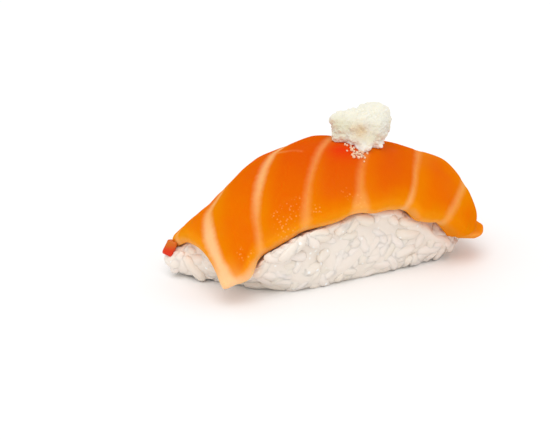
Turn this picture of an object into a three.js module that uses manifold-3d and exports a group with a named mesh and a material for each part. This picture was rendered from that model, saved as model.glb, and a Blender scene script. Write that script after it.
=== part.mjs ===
// One piece of salmon nigiri: a pressed pad of rice, a slice of raw salmon draped over it,
// and a crumbly dollop of fresh cheese on the crown of the slice.
//
// Millimetres, +Z up. +X runs along the pad towards its far, tucked end, and -Y is the front.
// The origin is on the table, under the middle of the whole piece.
//
// The slice is worked out on a curved sheet. On the sheet, p is the arc length along the
// slice from its crown, q is the arc length across it, and h is the height above its underside.

import * as THREE from 'three';
import { mergeVertices } from 'three/addons/utils/BufferGeometryUtils.js';
import Module from 'manifold-3d';

const wasm = await Module();
wasm.setup();

// ---------------------------------------------------------------- driving dimensions

const GAP = 0.3; // clear space between pieces that lie on each other
const CENTRE = { x: -2.1, y: -0.74 }; // middle of the whole piece, seen from above

const SLICE = {
  thickness: 4.8,
  nearLength: 33.9, // from the crown to the near end
  farLength: 37.9, // from the crown to the far end
  crownHeight: 22.3, // underside of the slice at p = 0
  crownX: -2.0,
  topRound: 1.7, // radius of the upper rim
  farRound: 0.9, // the same at the far end, where the cut edge is crisp
  farRoundAt: 34,
  farRoundOver: 3,
  underRound: 3.0, // radius of the lower rim
  farUnderRound: 1.2,
  underRoundFrom: 20, // p where the lower rim starts to change towards the far end
  underRoundOver: 6,
  taper: 2.3, // how much thinner the near end gets, from below
  taperFrom: 29,
  taperOver: 5,
  nearCorner: 24.0, // exponent of the outline at the near end, larger is squarer
  farCorner: 7.4,
  muscleRelief: 0.38, // how far a muscle band stands above the fat lines
  muscleRise: 0.14, // how far its middle stands above the thickness
  muscleShoulder: 5.5, // how far from a fat line the band has its full height
};

// Slope of the spine, in degrees, positive where it goes down towards +X.
const SPINE = {
  tilt: -4.3,
  crown: 16.0, // quick turn over the crown
  crownWidth: 6.6,
  bend: 0.57, // steady bend, degrees for each millimetre
  // The far end folds down in two turns.
  tucks: [
    { turn: 33.7, at: 28.1, width: 2.8 },
    { turn: 14.4, at: 33.7, width: 1.3 },
  ],
  step: 0.25,
};

// At the front corner of the far end, the cut edge stands out as a lip.
const LIP = { rise: 1.6, inset: 1.0, reach: 0.8, from: 34.5, over: 1.5, front: -7.6, frontOver: 2 };

const DRAPE = {
  radius: 16.5, // radius of the pad's back that the slice bends over
  nearFlare: 0.15, // the near end lies a little flatter
  flareStart: 13,
  flareLength: 24,
};

// Half widths of the slice across the sheet. Each side starts at its near width and grows in
// steps. At the front, bulges make the corners hang lower, and a hollow lies between them.
const WIDTH = {
  nearFront: 12.0,
  frontSteps: [
    { rise: 5.6, from: -30, over: 32 },
    { rise: 1.2, from: -1, over: 9 },
  ],
  frontBulges: [
    { push: 1.5, at: -32.4, reach: 3.2 },
    { push: -0.7, at: 19.9, reach: 4.1 },
    { push: 1.1, at: 27.3, reach: 4.5 },
  ],
  nearBack: 13.2,
  backSteps: [{ rise: 4.0, from: -30, over: 34 }],
};

// The near end: its front corner is a hanging tongue, and its back corner a blunt heel.
const TONGUE = { length: 4.6, power: 1.9, share: 3 };
const HEEL = { length: 1.6, at: 0.75, width: 0.25, share: 6 };

// A small scrap of flesh that hangs from the heel onto the rice.
const SCRAP = {
  place: new THREE.Vector3(-34.6, 9.7, 5.9),
  rise: new THREE.Vector3(0.45, 0, 0.89),
  across: new THREE.Vector3(0.57, -0.77, -0.31),
  height: 3.4,
  width: 2.4,
  depth: 2.0,
};

// Fat lines cross the sheet on a slant. Each starts at its own p on the line q = front. Behind
// its knee it bends over, and in front of the toe it swings out.
const FAT = {
  front: -12,
  toe: 5,
  toePower: 1.5,
  lines: [
    { start: -88.0, slant: 0.62, knee: 13.5, bend: 0.6, power: 2.0, swing: 0 },
    { start: -75.0, slant: 0.62, knee: 13.5, bend: 0.6, power: 2.0, swing: 0 },
    { start: -62.0, slant: 0.62, knee: 13.5, bend: 0.6, power: 2.0, swing: 0 },
    { start: -37.9, slant: 0.66, knee: 13.5, bend: 0.6, power: 2.0, swing: 0.1 },
    { start: -28.4, slant: 0.93, knee: 9.0, bend: 0.5, power: 1.3, swing: 0 },
    { start: -17.0, slant: 1.4, knee: 20.0, bend: 0, power: 1.0, swing: -0.1 },
    { start: -2.0, slant: 0.95, knee: 12.0, bend: 0.05, power: 2.0, swing: 0.03 },
    { start: 12.9, slant: 0.72, knee: 5.0, bend: 0.13, power: 2.0, swing: 0.04 },
    { start: 26.6, slant: 0.97, knee: 12.0, bend: 0.05, power: 2.0, swing: 0 },
    { start: 39.5, slant: 0.97, knee: 12.0, bend: 0.05, power: 2.0, swing: 0 },
  ],
};

const RICE = {
  width: 14.0, // half width
  height: 23.2,
  belly: 0.24, // share of the height where the pad is widest
  // Half length at the belly, exponent of the plan outline, and how much shorter the foot is.
  near: { length: 32.5, square: 8.0, under: 0.155 },
  far: { length: 29.4, square: 2.94, under: 0.22 },
  underWidth: 0.16,
  dome: 3.0,
  x: 1.1,
  y: -0.4,
  // The near end is cut on a slant: x moves with y, most at the foot.
  slant: { foot: 0.95, top: 0.1, height: 9 },
};

const GRAIN = {
  length: 6.3,
  width: 2.8,
  depth: 2.5,
  sides: 5,
  rings: 4,
  rowHeight: 2.35,
  spacing: 5.5,
  sunk: 0.95, // how deep the core's wall lies under the outside of the grains
  seed: 7,
};

const CHEESE = {
  p: 5.7,
  q: -1.3,
  lift: 1.75, // centre of the dollop above the slice
  length: 6.7,
  width: 6.1,
  height: 5.3,
  detail: 8,
  seed: 11,
};

// Lobes of the dollop: direction, how far each pushes out, and how wide it is.
const LOBES = [
  { x: 0.67, y: -0.13, z: 0.73, push: 0.27, reach: 0.55 },
  { x: -0.84, y: 0.29, z: 0.57, push: 0.28, reach: 0.34 },
  { x: -0.33, y: 0.5, z: 0.8, push: -0.2, reach: 0.26 },
  { x: -0.99, y: 0, z: -0.17, push: 0.2, reach: 0.32 },
  { x: -0.43, y: -0.82, z: -0.37, push: 0.27, reach: 0.34 },
  { x: 0.75, y: -0.58, z: -0.33, push: -0.14, reach: 0.32 },
  { x: -0.55, y: -0.8, z: 0.25, push: -0.12, reach: 0.35 },
  { x: 0.3, y: 0.9, z: -0.2, push: 0.14, reach: 0.45 },
];

// ---------------------------------------------------------------- small helpers

const radians = THREE.MathUtils.degToRad;
const lerp = THREE.MathUtils.lerp;
const smooth = (t) => THREE.MathUtils.smoothstep(t, 0, 1);
const bell = (t) => Math.exp(-t * t);

function seededRandom(seed) {
  let state = seed;
  return () => {
    state = (state + 0x6d2b79f5) | 0;
    let t = Math.imul(state ^ (state >>> 15), 1 | state);
    t = (t + Math.imul(t ^ (t >>> 7), 61 | t)) ^ t;
    return ((t ^ (t >>> 14)) >>> 0) / 4294967296;
  };
}

// Moves every vertex of a geometry with a function of its position.
function mapVertices(geometry, move) {
  const position = geometry.attributes.position;
  const point = new THREE.Vector3();
  for (let i = 0; i < position.count; i += 1) {
    point.fromBufferAttribute(position, i);
    const moved = move(point.clone());
    position.setXYZ(i, moved.x, moved.y, moved.z);
  }
  return geometry;
}

function weld(geometry) {
  const bare = geometry.clone();
  bare.deleteAttribute('normal');
  bare.deleteAttribute('uv');
  return mergeVertices(bare, 1e-4);
}

// ---------------------------------------------------------------- joins and cuts

function toSolid(geometry) {
  const welded = weld(geometry);
  const vertProperties = Float32Array.from(welded.attributes.position.array);
  const triVerts = Uint32Array.from(welded.index.array);
  return new wasm.Manifold(new wasm.Mesh({ numProp: 3, vertProperties, triVerts }));
}

// Keeps the triangles of the largest connected body, so that no loose scrap is left.
function largestBody(vertexCount, triangles) {
  const parent = Int32Array.from({ length: vertexCount }, (_, i) => i);
  const find = (i) => {
    let root = i;
    while (parent[root] !== root) root = parent[root];
    let walk = i;
    while (parent[walk] !== root) {
      const next = parent[walk];
      parent[walk] = root;
      walk = next;
    }
    return root;
  };
  for (let i = 0; i < triangles.length; i += 3) {
    parent[find(triangles[i + 1])] = find(triangles[i]);
    parent[find(triangles[i + 2])] = find(triangles[i]);
  }
  const tally = new Map();
  for (let i = 0; i < triangles.length; i += 3) {
    const root = find(triangles[i]);
    tally.set(root, (tally.get(root) ?? 0) + 1);
  }
  const [main] = [...tally.entries()].sort((a, b) => b[1] - a[1])[0];
  const kept = [];
  for (let i = 0; i < triangles.length; i += 3) {
    if (find(triangles[i]) === main) kept.push(triangles[i], triangles[i + 1], triangles[i + 2]);
  }
  return kept;
}

function toGeometry(solid) {
  const mesh = solid.getMesh();
  const geometry = new THREE.BufferGeometry();
  const points = new Float32Array(mesh.numVert * 3);
  for (let i = 0; i < mesh.numVert; i += 1) {
    for (let k = 0; k < 3; k += 1) points[3 * i + k] = mesh.vertProperties[mesh.numProp * i + k];
  }
  geometry.setAttribute('position', new THREE.BufferAttribute(points, 3));
  geometry.setIndex([...mesh.triVerts]);
  const welded = mergeVertices(geometry, 1e-4);
  welded.setIndex(largestBody(welded.attributes.position.count, welded.index.array));
  return welded;
}

// ---------------------------------------------------------------- the curved sheet

function spineSlope(p) {
  const crown = SPINE.crown * Math.tanh(p / SPINE.crownWidth);
  const folded = ({ turn, at, width }) => (turn / 2) * (1 + Math.tanh((p - at) / width));
  const tuck = SPINE.tucks.reduce((sum, fold) => sum + folded(fold), 0);
  return radians(SPINE.tilt + crown + SPINE.bend * p + tuck);
}

// Walks from the crown in small steps and stores the places that it passes.
function walkSpine(direction, length) {
  const places = [new THREE.Vector2(SLICE.crownX, SLICE.crownHeight)];
  const step = SPINE.step * direction;
  for (let i = 0; Math.abs(i * step) < length; i += 1) {
    const slope = spineSlope((i + 0.5) * step);
    const last = places[places.length - 1];
    places.push(new THREE.Vector2(last.x + step * Math.cos(slope), last.y - step * Math.sin(slope)));
  }
  return places;
}

const SPINE_MARGIN = 12;
const nearSpine = walkSpine(-1, SLICE.nearLength + SPINE_MARGIN);
const farSpine = walkSpine(1, SLICE.farLength + SPINE_MARGIN);

function spinePlace(p) {
  const places = p < 0 ? nearSpine : farSpine;
  const t = Math.abs(p) / SPINE.step;
  const i = Math.min(Math.floor(t), places.length - 2);
  return places[i].clone().lerp(places[i + 1], t - i);
}

function sheetPoint(p, q, h) {
  const place = spinePlace(p);
  const slope = spineSlope(p);
  const flare = smooth((-p - DRAPE.flareStart) / DRAPE.flareLength);
  const radius = DRAPE.radius * (1 + DRAPE.nearFlare * flare);
  const angle = q / radius;
  const rise = (radius + h) * Math.cos(angle) - radius;
  return new THREE.Vector3(
    place.x + rise * Math.sin(slope),
    (radius + h) * Math.sin(angle),
    place.y + rise * Math.cos(slope),
  );
}

// ---------------------------------------------------------------- salmon slice

function steppedWidth(near, steps, p) {
  return steps.reduce((width, { rise, from, over }) => width + rise * smooth((p - from) / over), near);
}

function frontWidth(p) {
  const even = steppedWidth(WIDTH.nearFront, WIDTH.frontSteps, p);
  return WIDTH.frontBulges.reduce((w, { push, at, reach }) => w + push * bell((p - at) / reach), even);
}

function backWidth(p) {
  return steppedWidth(WIDTH.nearBack, WIDTH.backSteps, p);
}

// Turns square coordinates u, v (-1 to 1) into a place p, q on the sheet, and gives the
// distance to the rim. Square rings become rings of a superellipse, whose corners are round.
function slicePlan(u, v, grow = 0) {
  const ring = Math.max(Math.abs(u), Math.abs(v));
  const power = u < 0 ? SLICE.nearCorner : SLICE.farCorner;
  const along = ring > 0 ? Math.abs(u) / ring : 1;
  const across = ring > 0 ? Math.abs(v) / ring : 1;
  const norm = (along ** power + across ** power) ** (1 / power);
  const a = u / norm;
  const b = v / norm;
  const length = (u < 0 ? SLICE.nearLength : SLICE.farLength) + grow;
  const near = Math.max(-a, 0);
  const tongue = TONGUE.length * Math.max(-b, 0) ** TONGUE.power * near ** TONGUE.share;
  const heel = HEEL.length * bell((b - HEEL.at) / HEEL.width) * near ** HEEL.share;
  const p = a * length - tongue - heel;
  const width = (b < 0 ? frontWidth(p) : backWidth(p)) + grow;
  const steepAlong = (along / norm) ** (power - 1) / length;
  const steepAcross = (across / norm) ** (power - 1) / width;
  return { p, q: b * width, inset: (1 - ring) / Math.hypot(steepAlong, steepAcross) };
}

// Distance from a place on the sheet to one fat line, at right angles to the line's slant.
function fatDistance(p, q, { start, slant, knee, bend, power, swing }) {
  const reach = q - FAT.front;
  const past = Math.max(reach - knee, 1e-6);
  const swung = swing * Math.max(FAT.toe - reach, 0) ** FAT.toePower;
  const line = start + slant * reach + bend * past ** power - swung;
  const steep = slant + bend * power * past ** (power - 1);
  return Math.abs(p - line) / Math.hypot(1, steep);
}

// 0 on a fat line, 1 where a muscle band has its full height.
function muscleHeight(p, q) {
  const nearest = Math.min(...FAT.lines.map((line) => fatDistance(p, q, line)));
  return smooth(nearest / SLICE.muscleShoulder);
}

// A quarter round: how far the surface has dropped at a distance from the rim.
function roundDrop(inset, radius) {
  const t = Math.min(Math.max(1 - inset / radius, 0), 1);
  return radius * (1 - Math.sqrt(1 - t * t));
}

function topHeight(p, q, inset) {
  const far = smooth((p - SLICE.farRoundAt) / SLICE.farRoundOver);
  const round = lerp(SLICE.topRound, SLICE.farRound, far);
  const muscle = SLICE.muscleRise - SLICE.muscleRelief * (1 - muscleHeight(p, q));
  const relief = muscle * smooth(inset / SLICE.topRound);
  const corner = smooth((p - LIP.from) / LIP.over) * smooth((LIP.front - q) / LIP.frontOver);
  const lip = LIP.rise * bell((inset - LIP.inset) / LIP.reach) * corner;
  return SLICE.thickness + relief + lip - roundDrop(inset, round);
}

// Height of the underside. It rises where the slice gets thinner, and in a round at the rim.
function underHeight(p, inset) {
  const rise = SLICE.taper * smooth((-p - SLICE.taperFrom) / SLICE.taperOver);
  const far = smooth((p - SLICE.underRoundFrom) / SLICE.underRoundOver);
  const round = lerp(SLICE.underRound, SLICE.farUnderRound, far);
  return rise + roundDrop(inset, round * (1 - rise / (SLICE.thickness - SLICE.topRound)));
}

// A grid box is bent into the slice: its top and bottom faces become the two faces of the
// slice, and its sides the thin band between the upper and the lower rim.
const SLICE_GRID = { along: 40, across: 20, crowd: 1.7 };
const crowd = (t) => Math.sign(t) * (1 - (1 - Math.abs(t)) ** SLICE_GRID.crowd);

function sliceSolid() {
  const box = new THREE.BoxGeometry(2, 2, 2, SLICE_GRID.along, SLICE_GRID.across, 1);
  mapVertices(box, (point) => {
    const { p, q, inset } = slicePlan(crowd(point.x), crowd(point.y));
    return sheetPoint(p, q, point.z > 0 ? topHeight(p, q, inset) : underHeight(p, inset));
  });
  return toSolid(box);
}

function scrapSolid(grow = 0) {
  const { width, depth, height, across, rise, place } = SCRAP;
  const box = new THREE.BoxGeometry(width + 2 * grow, depth + 2 * grow, height + 2 * grow);
  const side = across.clone().normalize();
  const back = new THREE.Vector3().crossVectors(rise, side).normalize();
  const up = new THREE.Vector3().crossVectors(side, back);
  box.applyMatrix4(new THREE.Matrix4().makeBasis(side, back, up).setPosition(place));
  return toSolid(box);
}

function sliceGeometry() {
  return toGeometry(sliceSolid().add(scrapSolid()));
}

// The space that the slice takes, from one height above its underside to another, with
// upright walls and grown by the gap. It cuts the pieces above and below the slice.
const CUTTER_GRID = { along: 34, across: SLICE_GRID.across };

function sliceCutter(low, high) {
  const box = new THREE.BoxGeometry(2, 2, 2, CUTTER_GRID.along, CUTTER_GRID.across, 1);
  mapVertices(box, (point) => {
    const { p, q, inset } = slicePlan(crowd(point.x), crowd(point.y), GAP);
    return sheetPoint(p, q, point.z > 0 ? high : low + underHeight(p, inset));
  });
  return toSolid(box);
}

// ---------------------------------------------------------------- rice pad

// A place on the pad's wall, moved inwards by a distance.
function padPoint(angle, z, sunk = 0) {
  const t = z / RICE.height;
  const under = Math.max((RICE.belly - t) / RICE.belly, 0) ** 2;
  const over = Math.max((t - RICE.belly) / (1 - RICE.belly), 0);
  const dome = Math.max(1 - over ** RICE.dome, 0) ** (1 / RICE.dome);
  const c = Math.cos(angle);
  const s = Math.sin(angle);
  const end = c < 0 ? RICE.near : RICE.far;
  const length = end.length * (1 - end.under * under) * dome;
  const width = RICE.width * (1 - RICE.underWidth * under) * dome;
  const radius = (Math.abs(c) ** end.square + Math.abs(s) ** end.square) ** (-1 / end.square);
  const x = Math.max(length - sunk, 0) * radius * c;
  const y = Math.max(width - sunk, 0) * radius * s;
  const slant = lerp(RICE.slant.foot, RICE.slant.top, smooth(z / RICE.slant.height));
  const slid = c < 0 ? slant * y * (x / RICE.near.length) ** 2 : 0;
  return new THREE.Vector3(RICE.x + x - slid, RICE.y + y, z);
}

function padNormal(angle, z) {
  const e = 0.01;
  const around = padPoint(angle + e, z).sub(padPoint(angle - e, z));
  const up = padPoint(angle, z + e).sub(padPoint(angle, z - e));
  return around.cross(up).normalize();
}

const CORE_GRID = { around: 44, up: 12, depth: 3 };

function coreSolid() {
  const profile = [new THREE.Vector2(0, -CORE_GRID.depth)];
  profile.push(new THREE.Vector2(1, -CORE_GRID.depth));
  for (let i = 0; i < CORE_GRID.up; i += 1) {
    const t = Math.sin((Math.PI / 2) * (i / CORE_GRID.up));
    profile.push(new THREE.Vector2(1, (RICE.height - GRAIN.sunk) * t));
  }
  profile.push(new THREE.Vector2(0, RICE.height - GRAIN.sunk));
  const lathe = new THREE.LatheGeometry(profile, CORE_GRID.around);
  lathe.rotateX(Math.PI / 2);
  mapVertices(lathe, (point) => {
    const wall = padPoint(Math.atan2(point.y, point.x), Math.max(point.z, 0), GRAIN.sunk);
    const share = Math.hypot(point.x, point.y);
    return new THREE.Vector3(lerp(RICE.x, wall.x, share), lerp(RICE.y, wall.y, share), point.z);
  });
  return toSolid(lathe);
}

// Height of the slice's lower rim in a direction seen from the pad's axis.
function makeRimHeight() {
  const samples = [];
  const around = 160;
  for (let i = 0; i < around; i += 1) {
    const turn = (2 * Math.PI * i) / around;
    const c = Math.cos(turn);
    const s = Math.sin(turn);
    const ring = Math.max(Math.abs(c), Math.abs(s));
    const { p, q } = slicePlan(c / ring, s / ring);
    const point = sheetPoint(p, q, underHeight(p, 0));
    samples.push({ angle: padAngle(point), z: point.z });
  }
  return (angle) => {
    const away = (other) => Math.abs(Math.atan2(Math.sin(angle - other), Math.cos(angle - other)));
    return samples.reduce((best, one) => (away(one.angle) < away(best.angle) ? one : best)).z;
  };
}

function padAngle(point) {
  const end = point.x < RICE.x ? RICE.near : RICE.far;
  return Math.atan2((point.y - RICE.y) / RICE.width, (point.x - RICE.x) / end.length);
}

function grainSolid(centre, outward, turn, size) {
  const sphere = new THREE.SphereGeometry(0.5, GRAIN.sides, GRAIN.rings);
  sphere.scale(GRAIN.width * size, GRAIN.length * size, GRAIN.depth * size);
  const level = new THREE.Vector3(-outward.y, outward.x, 0).normalize();
  const along = level.clone().applyAxisAngle(outward, turn);
  const side = new THREE.Vector3().crossVectors(along, outward);
  sphere.applyMatrix4(new THREE.Matrix4().makeBasis(side, along, outward));
  sphere.translate(centre.x, centre.y, centre.z);
  return toSolid(sphere);
}

// Rows of grains go round the pad at even steps along its wall, up to the slice's rim.
function grainPlaces() {
  const random = seededRandom(GRAIN.seed);
  const rimHeight = makeRimHeight();
  const places = [];
  const turnStep = 0.01;
  for (let row = 0; row * GRAIN.rowHeight < RICE.height; row += 1) {
    const z = (row + 0.45) * GRAIN.rowHeight;
    let walked = (row % 2) * 0.5 * GRAIN.spacing;
    for (let angle = -Math.PI; angle < Math.PI; angle += turnStep) {
      walked += padPoint(angle + turnStep, z).distanceTo(padPoint(angle, z));
      if (walked >= GRAIN.spacing) {
        walked -= GRAIN.spacing;
        const height = z + (random() - 0.5) * 1.1;
        const turn = (random() - 0.5) * 2.6;
        const out = (random() - 0.5) * 0.6;
        const size = 0.92 + 0.16 * random();
        if (height < rimHeight(angle) + 0.6) places.push({ angle, height, turn, out, size });
      }
    }
  }
  return places;
}

function riceGeometry() {
  let heap = coreSolid();
  for (const { angle, height, turn, out, size } of grainPlaces()) {
    const outward = padNormal(angle, height);
    const centre = padPoint(angle, height, GRAIN.depth / 2).addScaledVector(outward, out);
    heap = heap.add(grainSolid(centre, outward, turn, size));
  }
  const table = new THREE.BoxGeometry(120, 120, 20).translate(0, 0, -10);
  heap = heap.subtract(toSolid(table));
  heap = heap.subtract(sliceCutter(-GAP, 3 * SLICE.thickness));
  heap = heap.subtract(scrapSolid(GAP));
  return toGeometry(heap);
}

// ---------------------------------------------------------------- cheese dollop

// Small lumps: a sum of plane waves in fixed random directions.
function makeLumps(seed, count, pitch) {
  const random = seededRandom(seed);
  const waves = Array.from({ length: count }, () => ({
    way: new THREE.Vector3(random() - 0.5, random() - 0.5, random() - 0.5).normalize(),
    pitch: pitch * (0.7 + 0.6 * random()),
    phase: 2 * Math.PI * random(),
  }));
  return (unit) => {
    const total = waves.reduce((sum, w) => sum + Math.sin(w.pitch * unit.dot(w.way) + w.phase), 0);
    return total / Math.sqrt(count);
  };
}

function cheeseGeometry() {
  const coarse = makeLumps(CHEESE.seed, 6, 7);
  const fine = makeLumps(CHEESE.seed + 1, 8, 15);
  const foot = sheetPoint(CHEESE.p, CHEESE.q, SLICE.thickness + CHEESE.lift);
  const ball = new THREE.IcosahedronGeometry(1, CHEESE.detail);
  mapVertices(ball, (point) => {
    const unit = point.clone().normalize();
    let radius = 1 + 0.05 * coarse(unit) + 0.025 * fine(unit);
    for (const lobe of LOBES) {
      const way = new THREE.Vector3(lobe.x, lobe.y, lobe.z).normalize();
      radius += lobe.push * Math.exp(-unit.distanceToSquared(way) / lobe.reach ** 2);
    }
    const stretch = new THREE.Vector3(CHEESE.length, CHEESE.width, CHEESE.height);
    return unit.multiplyScalar(radius).multiply(stretch).add(foot);
  });
  const dollop = toSolid(ball);
  return toGeometry(dollop.subtract(sliceCutter(-SLICE.thickness, SLICE.thickness + GAP)));
}

// ---------------------------------------------------------------- the whole piece

function finish(name, geometry, color, roughness) {
  const material = new THREE.MeshStandardMaterial({ color, roughness, metalness: 0 });
  const shaded = geometry.toNonIndexed();
  shaded.computeVertexNormals();
  const mesh = new THREE.Mesh(shaded, material);
  mesh.name = name;
  mesh.position.set(-CENTRE.x, -CENTRE.y, 0);
  return mesh;
}

const nigiri = new THREE.Group();
nigiri.add(finish('rice_pad', riceGeometry(), 0xeee6da, 0.45));
nigiri.add(finish('salmon_slice', sliceGeometry(), 0xec6a0a, 0.25));
nigiri.add(finish('cream_cheese', cheeseGeometry(), 0xf0e8d2, 0.6));

export default nigiri;
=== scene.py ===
# %% [markdown]
# # A piece of salmon nigiri
# A pad of pressed rice carries a slice of raw salmon that hangs down over its sides, and a
# crumbly dollop of fresh cheese sits on the crown of the slice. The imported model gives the
# sizes and the places of the three. Here each of them gets its real surface.

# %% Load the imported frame
import math

import bpy
import numpy as np
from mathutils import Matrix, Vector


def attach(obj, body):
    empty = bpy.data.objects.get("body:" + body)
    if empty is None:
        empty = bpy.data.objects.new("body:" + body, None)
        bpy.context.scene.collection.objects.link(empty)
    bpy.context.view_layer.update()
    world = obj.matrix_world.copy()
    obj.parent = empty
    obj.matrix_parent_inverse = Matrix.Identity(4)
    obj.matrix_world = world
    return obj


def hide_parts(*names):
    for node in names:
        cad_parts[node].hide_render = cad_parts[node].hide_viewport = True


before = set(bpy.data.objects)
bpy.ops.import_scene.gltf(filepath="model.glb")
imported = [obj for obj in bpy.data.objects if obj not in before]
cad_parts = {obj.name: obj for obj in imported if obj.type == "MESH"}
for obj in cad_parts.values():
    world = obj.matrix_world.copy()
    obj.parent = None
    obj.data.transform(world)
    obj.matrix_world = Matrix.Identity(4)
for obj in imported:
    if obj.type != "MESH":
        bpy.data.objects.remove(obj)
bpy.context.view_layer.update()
MM = 0.001

# %% [markdown]
# ## One curved sheet carries the whole slice
# A slice of fish is a thin slab that was cut flat and then laid over the rice. So its shape
# is worked out as a flat slab first, with p along it, q across it and h up through its
# thickness, and then bent. The bend has two parts: a spine, whose slope changes along p, and
# a round back of the pad, over which the slice falls to both sides. All sizes in this part
# are in millimetres, and the bend is the one that the solids have.

# %% Sizes of the slice and of its bend
# The middle of the whole piece's box, and x and z of the spine at the crown.
CENTRE = (-2.1, -0.74)
CROWN = (-2.0, 22.3)
THICKNESS = 4.8
NEAR_LENGTH, FAR_LENGTH = 33.9, 37.9
BACK_RADIUS, SPINE_STEP = 16.5, 0.1
# The share by which the back's radius grows towards the near end, its start and its reach.
BACK_GROWTH = (0.15, 13.0, 24.0)
# The spine's slope in degrees: the tilt at the crown, the quick turn there with its reach, and
# the steady bend for each mm. The far end's turns each have degrees, a place and a reach.
TILT, CROWN_TURN, CROWN_REACH, STEADY_BEND = -4.3, 16.0, 6.6, 0.57
FAR_TURNS = ((33.7, 28.1, 2.8), (14.4, 33.7, 1.3))


def smooth(t):
    """An even S curve: 0 below t = 0, 1 above t = 1, and 3 t squared minus 2 t cubed between."""
    t = np.clip(t, 0.0, 1.0)
    return t * t * (3.0 - 2.0 * t)


def ramp(t, height, start, reach):
    """A smooth step: 0 up to its start, and its full height from one reach further on."""
    return height * smooth((t - start) / reach)


def spine_slope(p):
    """Slope of the spine in radians: a tilt, a quick turn over the crown, a steady bend, and
    two turns that fold the far end down. Each turn is a hyperbolic tangent."""
    crown = CROWN_TURN * np.tanh(p / CROWN_REACH)
    tuck = sum(turn * (1.0 + np.tanh((p - place) / reach)) / 2.0 for turn, place, reach in FAR_TURNS)
    return np.radians(TILT + crown + STEADY_BEND * p + tuck)


def walk_spine(low=-60.0, high=60.0):
    """Places along the spine: the sums of cosine and sine of the slope, step by step."""
    p = np.arange(low, high, SPINE_STEP)
    middle = spine_slope(p[:-1] + SPINE_STEP / 2)
    x = np.concatenate([[0.0], np.cumsum(SPINE_STEP * np.cos(middle))])
    z = np.concatenate([[0.0], np.cumsum(-SPINE_STEP * np.sin(middle))])
    return p, x - np.interp(0.0, p, x) + CROWN[0], z - np.interp(0.0, p, z) + CROWN[1]


SPINE_P, SPINE_X, SPINE_Z = walk_spine()


def back_radius(p):
    """Radius of the pad's back, which grows towards the near end."""
    return BACK_RADIUS * (1.0 + ramp(-p, *BACK_GROWTH))


def sheet(p, q, h):
    """Bends the flat place p, q, h: an arc of length q round the back, standing on the spine."""
    slope, radius = spine_slope(p), back_radius(p)
    rise = (radius + h) * np.cos(q / radius) - radius
    x = np.interp(p, SPINE_P, SPINE_X) + rise * np.sin(slope)
    y = (radius + h) * np.sin(q / radius)
    z = np.interp(p, SPINE_P, SPINE_Z) + rise * np.cos(slope)
    return np.stack([x - CENTRE[0], y - CENTRE[1], z], -1)


def unbend(points, rounds=12, share=0.6, limit=55.0):
    """The p, q, h of places in space: p is corrected again and again by a share of how far the
    place lies along the spine's tangent, and q and h follow from the angle round the back."""
    x, y, z = points[..., 0] + CENTRE[0], points[..., 1] + CENTRE[1], points[..., 2]
    p = x.copy()
    for _ in range(rounds):
        slope = spine_slope(p)
        dx, dz = x - np.interp(p, SPINE_P, SPINE_X), z - np.interp(p, SPINE_P, SPINE_Z)
        p = np.clip(p + share * (dx * np.cos(slope) - dz * np.sin(slope)), -limit, limit)
    slope, radius = spine_slope(p), back_radius(p)
    dx, dz = x - np.interp(p, SPINE_P, SPINE_X), z - np.interp(p, SPINE_P, SPINE_Z)
    rise = dx * np.sin(slope) + dz * np.cos(slope) + radius
    return p, radius * np.arctan2(y, rise), np.hypot(y, rise) - radius


print("spine ends at", np.round(sheet(np.array([-NEAR_LENGTH, FAR_LENGTH]), 0.0, 0.0), 1).tolist())

# %% [markdown]
# ## The outline of the slice
# Seen flat, the slice is a long rounded rectangle that is narrower at its near end, with a
# front corner that hangs lower and a blunt heel at the back corner. A square grid gives the
# evenest mesh, so each square ring of the grid is turned into a ring of a superellipse, whose
# corners are round, and the rings are then stretched to the outline.

# %% From a square grid to the plan of the slice
# Powers of the superellipse at the two ends: the higher, the squarer the corners.
NEAR_POWER, FAR_POWER = 24.0, 7.4
# Half width on the front side: its start, and its steps and bells as height, place and reach.
# The first and the last bell make the two corners hang lower.
FRONT_START = 12.0
FRONT_STEPS = ((5.6, -30.0, 32.0), (1.3, 11.0, 3.0))
FRONT_BELLS = ((1.5, -32.4, 3.2), (-0.3, 9.4, 2.5), (-0.5, 19.9, 2.8), (0.9, 29.4, 4.0))
# Half width on the back side: its start and its one step.
BACK_START, BACK_STEP = 13.2, (4.0, -30.0, 34.0)
# How far the tongue reaches at the near front corner, with the powers by which it fades across
# and along. The heel at the near back corner is a bell across, and it fades along too.
TONGUE, TONGUE_ACROSS, TONGUE_ALONG = 4.6, 1.9, 3
HEEL, HEEL_ALONG = (1.6, 0.75, 0.25), 6
# Keeps divisions safe in the middle of the grid.
TINY = 1e-9


def bell(t):
    """A bell curve, 1 at t = 0: e to the power of minus t squared."""
    return np.exp(-t * t)


def hump(t, height, middle, reach):
    """A bell of a height about its middle, fallen to about a third one reach further on."""
    return height * bell((t - middle) / reach)


def front_width(p):
    """Half width on the front side: the start, and the sum of all steps and bells."""
    even = sum((ramp(p, *step) for step in FRONT_STEPS), FRONT_START)
    return sum((hump(p, *one) for one in FRONT_BELLS), even)


def back_width(p):
    """Half width on the back side."""
    return BACK_START + ramp(p, *BACK_STEP)


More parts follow.
